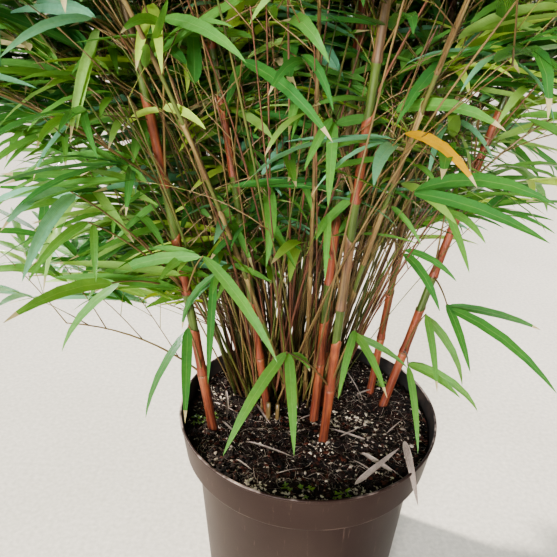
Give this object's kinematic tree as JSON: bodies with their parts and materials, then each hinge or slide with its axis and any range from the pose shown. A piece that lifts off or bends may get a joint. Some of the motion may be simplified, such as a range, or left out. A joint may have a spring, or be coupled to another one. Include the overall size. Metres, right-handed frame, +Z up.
{
  "type": "potted clumping bamboo",
  "caption": "Clump-forming bamboo with upright arching canes and fans of narrow drooping leaves, in a round tapered plastic nursery pot with a deep collar, filled with dark compost.",
  "frame": {"origin": "centre of the pot's flat underside", "axes": "+Z up, -Y towards the side that the picture is taken from, +X to that viewer's right"},
  "size_m": [1.1191, 1.146, 1.3014],
  "materials": {
    "pot": "smooth moulded taupe-brown plastic, dusty and lightly scuffed, with a soft sheen",
    "compost": "rough near-black potting compost with bark fibres and pale grit",
    "cane": "smooth olive-green cane with papery orange-red sheaths at its joints",
    "thin_cane": "thin tan to olive cane with dry sheaths",
    "leaf": "thin satin leaf, mid green above and paler blue-green below"
  },
  "bodies": {
    "root": {"cane_back": "cane", "cane_back_right": "cane", "cane_centre": "cane", "cane_front": "cane", "cane_left": "cane", "cane_mid_left": "cane", "cane_rear_left": "cane", "cane_rear_right": "cane", "cane_right": "cane", "cane_slim": "cane", "cane_thin_1": "thin_cane", "cane_thin_10": "thin_cane", "cane_thin_2": "thin_cane", "cane_thin_3": "thin_cane", "cane_thin_4": "thin_cane", "cane_thin_5": "thin_cane", "cane_thin_6": "thin_cane", "cane_thin_7": "thin_cane", "cane_thin_8": "thin_cane", "cane_thin_9": "thin_cane", "compost": "compost", "foliage_back_right_side_2": "leaf", "foliage_back_right_tip": "leaf", "foliage_back_side_2": "leaf", "foliage_back_side_4": "leaf", "foliage_back_tip": "leaf", "foliage_centre_side_4": "leaf", "foliage_centre_tip": "leaf", "foliage_front_side_2": "leaf", "foliage_front_side_6": "leaf", "foliage_front_tip": "leaf", "foliage_left_side_1": "leaf", "foliage_left_side_2": "leaf", "foliage_left_side_4": "leaf", "foliage_left_tip": "leaf", "foliage_mid_left_side_1": "leaf", "foliage_mid_left_side_4": "leaf", "foliage_mid_left_tip": "leaf", "foliage_rear_left_side_4": "leaf", "foliage_rear_left_tip": "leaf", "foliage_rear_right_side_3": "leaf", "foliage_rear_right_tip": "leaf", "foliage_right_side_1": "leaf", "foliage_right_side_3": "leaf", "foliage_right_side_5": "leaf", "foliage_right_tip": "leaf", "foliage_slim_tip": "leaf", "foliage_thin_10_tip": "leaf", "foliage_thin_1_tip": "leaf", "foliage_thin_2_tip": "leaf", "foliage_thin_3_tip": "leaf", "foliage_thin_4_tip": "leaf", "foliage_thin_5_tip": "leaf", "foliage_thin_6_tip": "leaf", "foliage_thin_7_tip": "leaf", "foliage_thin_8_tip": "leaf", "foliage_thin_9_tip": "leaf", "pot": "pot"}
  },
  "joints": []
}
